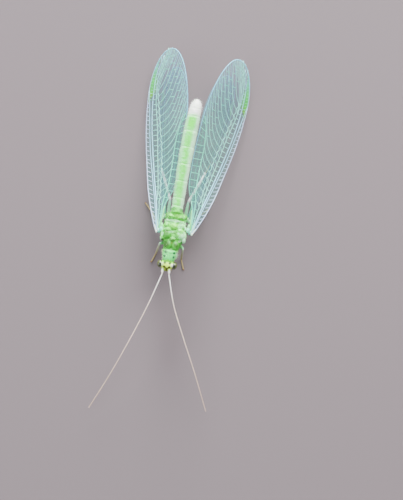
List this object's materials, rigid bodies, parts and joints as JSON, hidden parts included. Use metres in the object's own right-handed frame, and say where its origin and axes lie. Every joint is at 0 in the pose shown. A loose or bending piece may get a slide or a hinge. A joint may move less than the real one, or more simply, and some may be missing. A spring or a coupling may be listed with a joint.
{
  "type": "green lacewing",
  "caption": "Life-size still model of a green lacewing at rest, with net-veined wings half spread along a slim green abdomen and long thread-like antennae.",
  "frame": {"origin": "middle of the underside of the whole animal's bounding box, on the floor that the feet stand on", "axes": "+Y from the head towards the tip of the abdomen and the wings, +Z up, +X towards the animal's own left as it faces -Y, which is on the right in the view from above with +Y up"},
  "size_m": [0.009, 0.0278, 0.0032],
  "materials": {
    "head_cuticle": "satin",
    "eye": "gloss",
    "antenna": "satin",
    "green_cuticle": "satin",
    "pale_green_cuticle": "satin",
    "foot": "satin",
    "wing_membrane": "gloss"
  },
  "bodies": {
    "root": {"head": "head_cuticle", "eye_right": "eye", "eye_left": "eye", "antenna_right_scape": "antenna", "antenna_right_flagellum": "antenna", "antenna_left_scape": "antenna", "antenna_left_flagellum": "antenna", "prothorax": "green_cuticle", "mesothorax": "green_cuticle", "metathorax": "green_cuticle", "abdomen": "pale_green_cuticle", "forewing_right": "wing_membrane", "forewing_left": "wing_membrane", "hindwing_right": "wing_membrane", "hindwing_left": "wing_membrane", "leg_front_right_femur": "pale_green_cuticle", "leg_front_right_tibia": "pale_green_cuticle", "leg_front_right_tarsus": "foot", "leg_front_left_femur": "pale_green_cuticle", "leg_front_left_tibia": "pale_green_cuticle", "leg_front_left_tarsus": "foot", "leg_middle_right_femur": "pale_green_cuticle", "leg_middle_right_tibia": "pale_green_cuticle", "leg_middle_right_tarsus": "foot", "leg_middle_left_femur": "pale_green_cuticle", "leg_middle_left_tibia": "pale_green_cuticle", "leg_middle_left_tarsus": "foot", "leg_hind_right_femur": "pale_green_cuticle", "leg_hind_right_tibia": "pale_green_cuticle", "leg_hind_right_tarsus": "foot", "leg_hind_left_femur": "pale_green_cuticle", "leg_hind_left_tibia": "pale_green_cuticle", "leg_hind_left_tarsus": "foot"}
  },
  "joints": []
}
